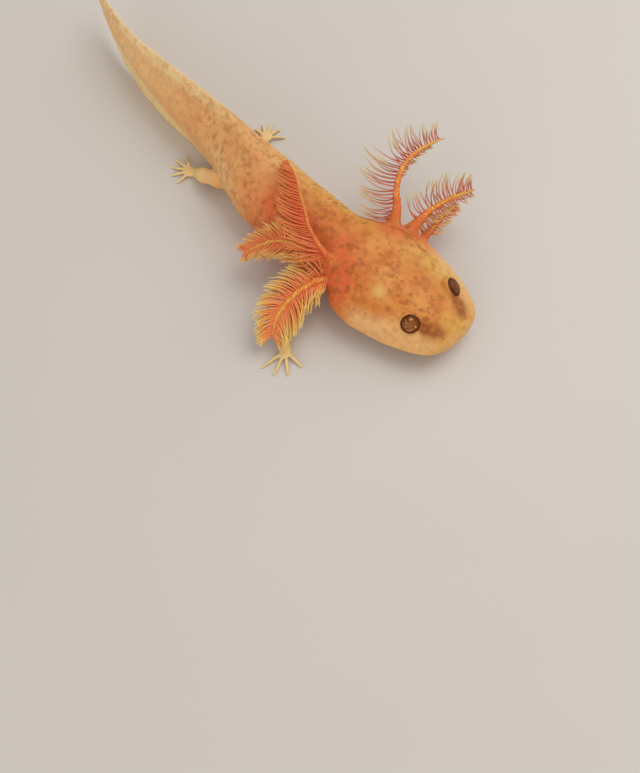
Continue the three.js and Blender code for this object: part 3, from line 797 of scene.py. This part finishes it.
# ---- gill filaments
FILAMENT_ROOT = 0.1  # half thickness
FILAMENT_TIP = 0.045
FILAMENT_SIDES = 6
FILAMENT_RINGS = 10
CURL = 1.0  # how much more a filament's outer end is swept than its root
FAN = 0.17  # how far the layers spread from their row's middle
CLUMP = 4  # neighbours whose tips lean together
PATCH = 0.003  # of the unwrap that each filament takes


def fringe_filaments(stalk, gill, row):
    """Root, bend and tip of every filament of a fringe, layer after layer."""
    first, last = row["span"]
    layers = gill["layers"]
    each = round(stalk.length * (last - first) / gill["pitch"])
    count = each * layers
    layer = np.repeat(np.arange(layers), each) / (layers - 1)
    share = np.tile(np.linspace(0, 1, each), layers) + (layer - 0.5) / each
    share = np.clip(share + RANDOM.normal(0, 0.12 / each, count), 0, 1)
    t = mix(first, last, share)
    length = np.interp(share, [0, 0.5, 1], row["length"])
    length = length * mix(1, 0.82, layer) * RANDOM.uniform(0.72, 1.06, count)
    along = stalk.along(t)
    outward = mix(*np.array(row["out"]), share[:, None])
    outward = unit(outward - along * (outward * along).sum(-1, keepdims=True))
    other = np.cross(along, outward)
    tilt = (layer - 0.5) * FAN * min(layers, 4) + RANDOM.normal(0, 0.1, count)
    outward = unit(outward + other * tilt[:, None] * np.where(other[:, 2:] > 0, -1, 1))
    wander = 0.18 * np.sin(share * 11 + layer * 5) + RANDOM.normal(0, 0.12, count)
    sweep = mix(*row["sweep"], share) + 0.25 - CURL / 2 + wander

    def heading(swept):
        return unit(outward + along * swept[:, None]) * (length / 2)[:, None]

    root = stalk.at(t) + outward * (STALK_WIDTH(t) * gill.get("stalk", 1) * 0.35)[:, None]
    bend = root + heading(sweep)
    tip = bend + heading(sweep + CURL)
    place = np.arange(count) % each
    leader = np.minimum(place // CLUMP * CLUMP + CLUMP // 2, each - 1) + np.arange(count) - place
    tip = mix(tip, tip[leader] + RANDOM.normal(0, 0.14, tip.shape), 0.6)
    return t, layer, root, bend, tip


def clear_of_body(points):
    """Lifts points out of the flesh so that filaments lie on the skin."""
    _, across, outside = body_places(points)
    sunk = np.maximum(0.14 - outside, 0) * smooth(-1.6, -0.6, outside)
    away = unit(np.stack([across * 0, across, across * 0 + 1.2], axis=-1))
    return points + away * sunk[:, None]


def add_filaments(side_name, gill, material):
    """All filaments of one gill as one mesh of slender tapered tubes."""
    stalk = Path(gill["path"])
    shells = Shells()
    patches = []
    u = np.linspace(0, 1, FILAMENT_RINGS)[:, None]
    angle = 2 * np.pi * np.arange(FILAMENT_SIDES)[:, None] / FILAMENT_SIDES
    along = np.repeat(u, FILAMENT_SIDES)
    spread = np.stack([np.tile(np.abs(angle[:, 0] / np.pi - 1), FILAMENT_RINGS), along], axis=-1)
    for number, row in enumerate(gill["fringes"]):
        for t, layer, root, bend, tip in zip(*fringe_filaments(stalk, gill, row)):
            centre = root * (1 - u) ** 2 + bend * 2 * u * (1 - u) + tip * u**2
            centre = mix(centre, clear_of_body(centre), smooth(0.1, 0.35, u))
            direction = unit(np.gradient(centre, axis=0))
            width = unit(np.cross(direction, [0.1, 0.2, 1]))
            height = np.cross(direction, width)
            taper = gill["girth"] * (FILAMENT_TIP + (FILAMENT_ROOT - FILAMENT_TIP) * (1 - u**1.5))
            taper[-1] *= 0.4
            ring = width[:, None] * np.cos(angle) + height[:, None] * np.sin(angle)
            tube = centre[:, None] + ring * taper[:, None]
            tube[..., 2] = np.maximum(tube[..., 2], 0)
            shells.add(tube)
            corner = np.array([0.04 + 0.92 * t, 0.2 + 0.5 * number + 0.1 * layer])  # in the unwrap
            patches.append(corner + spread * PATCH)
    name = f"filaments_{side_name}"
    mesh = shells.mesh(name, to_frame)
    tuft = np.repeat(RANDOM.uniform(0, 1, len(patches)), len(along))
    hues = {key: np.full(len(tuft), gill.get(key, 0)) for key in ("ember", "flush")}
    mark(mesh, {"along": np.tile(along, len(patches)), "tuft": tuft, **hues})
    layout = mesh.uv_layers.new(name="OFBake")
    corners = read(mesh.loops, "vertex_index", 1, int)[:, 0]
    layout.data.foreach_set("uv", np.concatenate(patches)[corners].astype(np.float32).ravel())
    return finished(name, mesh, material)


# ---- eyes
def add_eye(name, eye, material):
    """A flattened globe; "ring" is 0 at the pupil's centre and 0.5 where the skin begins."""
    angle = np.linspace(0.012, 2.6, 60)
    shells = Shells()
    shells.add(globe_rings(eye, EYE_RADIUS, angle, EYE_SIDES)[:, ::-1])
    mesh = shells.mesh(name, to_frame)
    ring = np.repeat(np.where(angle < np.pi / 2, np.sin(angle), 2) * EYE_RADIUS / EYE_SHOWN / 2, EYE_SIDES)
    mark(mesh, {"ring": ring, "gold_and_light": np.full(len(ring), eye["gold_and_light"])})
    return finished(name, mesh, material)


# ---- materials
def linear(*rgb):
    """A colour given as seen on a screen, 0 to 255, as the shader wants it."""
    c = np.array(rgb) / 255
    return (*np.where(c <= 0.04045, c / 12.92, ((c + 0.055) / 1.055) ** 2.4), 1.0)


class Nodes:
    """Short ways to add and join the nodes of one material."""

    def __init__(self, name):
        self.material = bpy.data.materials.new(name)
        self.material.use_nodes = True
        self.tree = self.material.node_tree
        self.shader = self.tree.nodes["Principled BSDF"]
        self.place = self.add("ShaderNodeTexCoord").outputs["Object"]

    def put(self, socket, value):
        if isinstance(value, bpy.types.NodeSocket):
            self.tree.links.new(value, socket)
        else:
            socket.default_value = value

    def add(self, kind, inputs=(), **settings):
        node = self.tree.nodes.new(kind)
        for key, value in settings.items():
            setattr(node, key, value)
        for key, value in dict(inputs).items():
            self.put(node.inputs[key], value)
        return node

    def attribute(self, name):
        return self.add("ShaderNodeAttribute", attribute_name=name).outputs["Fac"]

    def noise(self, size, detail=3.0, roughness=0.5, distortion=0.0):
        """Noise whose lumps are about size millimetres across."""
        inputs = {"Vector": self.place, "Scale": 1 / (size * MM), "Detail": detail}
        inputs |= {"Roughness": roughness, "Distortion": distortion}
        return self.add("ShaderNodeTexNoise", inputs).outputs["Fac"]

    def cells(self, size):
        """The distance to the nearest of scattered points about size millimetres apart."""
        inputs = {"Vector": self.place, "Scale": 1 / (size * MM)}
        return self.add("ShaderNodeTexVoronoi", inputs).outputs["Distance"]

    def dots(self, size):
        """Uneven roundish dots about size millimetres apart, in loose clusters."""
        off = self.swayed(self.cells(size), self.noise(size / 2), 0.7)
        return self.times(self.step(off, 0.38, 0.16), self.step(self.noise(size * 2.6, 2), 0.42, 0.56))

    def step(self, value, low, high, to=1.0):
        """0 below low, "to" above high, soft between; low may be the larger one."""
        inputs = {"Value": value, "From Min": low, "From Max": high, "To Min": 0.0, "To Max": to}
        return self.add("ShaderNodeMapRange", inputs, interpolation_type="SMOOTHSTEP").outputs["Result"]

    def maths(self, operation, a, b=0.0):
        return self.add("ShaderNodeMath", {0: a, 1: b}, operation=operation).outputs[0]

    def times(self, a, b):
        return self.maths("MULTIPLY", a, b)

    def swayed(self, value, by, amount):
        """The value, moved up and down by something that lies round 0.5."""
        return self.maths("ADD", value, self.times(self.maths("SUBTRACT", by, 0.5), amount))

    def blend(self, amount, a, b):
        node = self.add("ShaderNodeMix", data_type="RGBA")
        for number, value in ((0, amount), (6, a), (7, b)):  # the colour sockets share their names
            self.put(node.inputs[number], value)
        return node.outputs[2]

    def painted(self, colour, *coats):
        """A colour under coats of others, each given as its amount and its red, green and blue."""
        for amount, *rgb in coats:
            colour = self.blend(amount, colour, linear(*rgb))
        return colour

    def ramp(self, value, *stops):
        node = self.add("ShaderNodeValToRGB", {"Fac": value})
        elements = node.color_ramp.elements
        for _ in stops[2:]:
            elements.new(0.5)
        for element, (position, *rgb) in zip(elements, stops):
            element.position = position
            element.color = linear(*rgb)
        return node.outputs["Color"]

    def bump(self, height, distance, normal=None):
        inputs = {"Height": height, "Distance": distance * MM, "Strength": 0.4}
        if normal:
            inputs["Normal"] = normal
        return self.add("ShaderNodeBump", inputs).outputs["Normal"]

    def shade(self, **inputs):
        for key, value in inputs.items():
            self.put(self.shader.inputs[key.replace("_", " ")], value)
        return self.material


MOIST = dict(Subsurface_Radius=(1.0, 0.4, 0.2), Coat_Weight=0.06, Coat_Roughness=0.25)


def skin_material():
    n = Nodes("moist_skin")
    red, pale, yellow_and_rim_light, brown = map(n.attribute, ("red", "pale", "yellow_and_rim_light", "brown"))
    fin, digit, tail, speckle, glint = map(n.attribute, ("fin", "digit", "tail", "speckle", "glint"))
    cloud, fine = n.noise(3.2, 4), n.noise(0.45)
    veins = n.step(n.noise(1.6, 4, 0.65, 1.2), 0.52, 0.6, 0.35)
    freckles = n.step(n.noise(0.9, 3, 0.55), 0.46, 0.66, 0.45)
    blotch = n.times(n.step(n.noise(1.2, 2), 0.5, 0.68), n.step(n.noise(3.6, 2), 0.38, 0.6))
    spots = n.maths("MAXIMUM", n.times(n.dots(1.3), 0.58), n.times(n.dots(0.8), 0.46))
    spots = n.maths("MAXIMUM", n.times(blotch, 0.5), spots)
    flecks = n.times(n.step(n.noise(0.3, 4, 0.7), 0.52, 0.6), n.step(n.noise(1.2, 2), 0.4, 0.54))
    colour = n.painted(
        n.blend(n.step(cloud, 0.35, 0.65), linear(208, 118, 48), linear(220, 146, 70)),
        # yellowish snout and stalk ends, their own colour, plus a painted rim light on the upper left flank
        (n.times(yellow_and_rim_light, 0.8), 216, 174, 82),
        (n.times(pale, 0.85), 230, 184, 122),
        (n.times(tail, 0.8), 234, 196, 138),
        (n.step(n.swayed(red, cloud, 0.8), 0.1, 0.9, 0.85), 214, 88, 52),
        (n.times(brown, n.step(cloud, 0.2, 0.55)), 150, 76, 26),
        (n.times(fin, 0.85), 238, 210, 150),
        (n.times(veins, fin), 196, 118, 62),
        (n.times(digit, 0.8), 232, 208, 146),
        (n.step(fine, 0.35, 0.7, 0.22), 226, 160, 84),
        (n.times(freckles, speckle), 178, 94, 38),
        (n.times(spots, speckle), 150, 74, 28),
        # painted glints: golden highlights and bright flecks along the stalks' upper sides
        (n.times(glint, 0.65), 226, 146, 58),
        (n.times(flecks, glint), 255, 214, 104),
    )
    grain = n.bump(n.noise(0.5), 0.03, n.bump(n.cells(0.16), 0.008))
    return n.shade(
        Base_Color=colour, Roughness=n.maths("ADD", n.times(fine, 0.2), 0.4), Normal=grain,
        Subsurface_Weight=0.25, Subsurface_Scale=0.8 * MM, Specular_IOR_Level=0.22, IOR=1.38, **MOIST,
    )


def filament_material():
    """Pinkish brown with yellowish tips where the gills stand up, a random share darker brown as painted
    shade, and orange where they lie flat.
    """
    n = Nodes("gill_filaments")
    ember, flush, tuft = map(n.attribute, ("ember", "flush", "tuft"))
    along = n.swayed(n.attribute("along"), tuft, 0.3)
    pink = n.ramp(
        along, (0, 208, 100, 78), (0.35, 200, 132, 110), (0.68, 204, 162, 110), (0.92, 228, 204, 120)
    )
    orange = n.ramp(
        along, (0, 246, 118, 66), (0.35, 250, 154, 86), (0.65, 250, 184, 98), (0.92, 250, 212, 122)
    )
    upright = n.maths("SUBTRACT", 1.0, ember)
    colour = n.painted(
        n.blend(ember, pink, orange),
        (n.step(n.noise(0.5), 0.4, 0.7, 0.3), 224, 150, 100),
        # painted shade: a random share of the upright filaments darkened brown for their shaded sides
        (n.times(upright, n.step(tuft, 0.6, 0.9, 0.45)), 150, 92, 58),
        (flush, 222, 98, 54),
    )
    return n.shade(
        Base_Color=colour, Roughness=0.42, Normal=n.bump(n.noise(0.12, 2), 0.01),
        Subsurface_Weight=0.3, Subsurface_Scale=0.3 * MM, Specular_IOR_Level=0.25, **MOIST,
    )


def eye_material():
    """A golden ring round a brown pupil, darkened unevenly towards the skin. The far eye is given painted
    shade: a fainter ring and a darker colour.
    """
    n = Nodes("eye")
    gold_and_light = n.attribute("gold_and_light")
    wander = n.swayed(n.attribute("ring"), n.noise(0.16, 3, 0.6), 0.16)
    ring = n.times(n.times(n.step(wander, 0.17, 0.24), n.step(wander, 0.4, 0.33)), gold_and_light)
    colour = n.painted(
        n.blend(n.step(wander, 0.1, 0.2), linear(150, 86, 36), linear(124, 66, 24)),
        (n.times(ring, n.step(n.noise(0.3, 4, 0.75), 0.5, 0.6, 0.75)), 218, 164, 98),
        (n.step(n.swayed(wander, n.noise(1.1, 2), 0.3), 0.3, 0.44, 0.92), 92, 40, 10),
        # painted shade on the far eye
        (n.step(gold_and_light, 1.0, 0.0, 0.5), 74, 36, 12),
    )
    return n.shade(
        Base_Color=colour, Roughness=0.45, Specular_IOR_Level=0.1, Coat_Weight=0.12,
        Coat_Roughness=0.05, IOR=1.4,
    )


def floor_material():
    n = Nodes("floor")
    colour = n.blend(n.noise(30, 2), linear(206, 196, 184), linear(211, 201, 189))
    return n.shade(Base_Color=colour, Roughness=0.55)


# ---- floor, light and camera
CAMERA_PLACE = (67.344, -52.836, 107.855)
CAMERA_LOOK = Vector((-0.3237, 0.2955, -0.8988))
CAMERA_UP = Vector((-0.6638, 0.6060, 0.4384))
CAMERA_LENS = 46.57
FLOOR_SIZE = 1.6
FLOOR_DROP = 0.00002  # under the resting flats
SKY_COLOUR = (0.93, 0.95, 1.0, 1.0)
SKY_STRENGTH = 0.6
SOFT_LIGHTS = {  # direction in the camera's right, up and back, distance, size and watts
    "key": ((0.55, 0.75, 0.9), 0.34, 0.26, 0.46),
    "fill": ((-0.5, -0.9, 0.7), 0.4, 0.35, 0.67),
    "rim": ((0.9, 0.9, 0.15), 0.36, 0.2, 0.16),
}


def camera_axes():
    back, up = -CAMERA_LOOK.normalized(), CAMERA_UP.normalized()
    return up.cross(back), up, back


def add_camera():
    camera = add_object("camera", bpy.data.cameras.new("camera"))
    camera.data.lens = CAMERA_LENS
    camera.data.clip_start = 0.001
    camera.location = Vector(np.array(CAMERA_PLACE) * MM + OFFSET)
    camera.rotation_euler = Matrix(camera_axes()).transposed().to_euler()
    bpy.context.scene.camera = camera


def add_lights():
    axes = camera_axes()
    for name, (direction, distance, size, watts) in SOFT_LIGHTS.items():
        light = add_object(name, bpy.data.lights.new(name, "AREA"))
        light.data.energy = watts
        light.data.size = size
        way = sum((axis * share for axis, share in zip(axes, direction)), Vector()).normalized()
        light.location = way * distance
        light.rotation_euler = way.to_track_quat("Z", "Y").to_euler()
    world = bpy.data.worlds.new("room")
    world.use_nodes = True
    sky = world.node_tree.nodes["Background"].inputs
    sky["Color"].default_value = SKY_COLOUR
    sky["Strength"].default_value = SKY_STRENGTH
    bpy.context.scene.world = world
    bpy.context.scene.view_settings.view_transform = "Standard"


def add_floor():
    corners = [(-1, -1, 0), (1, -1, 0), (1, 1, 0), (-1, 1, 0)]
    mesh = bpy.data.meshes.new("floor")
    mesh.from_pydata(np.array(corners) * FLOOR_SIZE / 2, [], [(0, 1, 2, 3)])
    floor = finished("floor", mesh, floor_material())
    floor.location.z = -FLOOR_DROP


add_camera()
add_lights()
add_floor()

flesh_nodes = [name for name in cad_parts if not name.startswith("eye_")]
skin = add_skin(skin_material())
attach(skin, "root")
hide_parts(*flesh_nodes)

feathers = filament_material()
for name, gill in GILLS.items():
    filaments = add_filaments(name, gill, feathers)
    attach(filaments, "root")
    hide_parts(f"gill_{name}")

glossy = eye_material()
for name, eye in EYES.items():
    eyeball = add_eye(f"eyeball_{name}", eye, glossy)
    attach(eyeball, "root")
    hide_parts(f"eye_{name}")
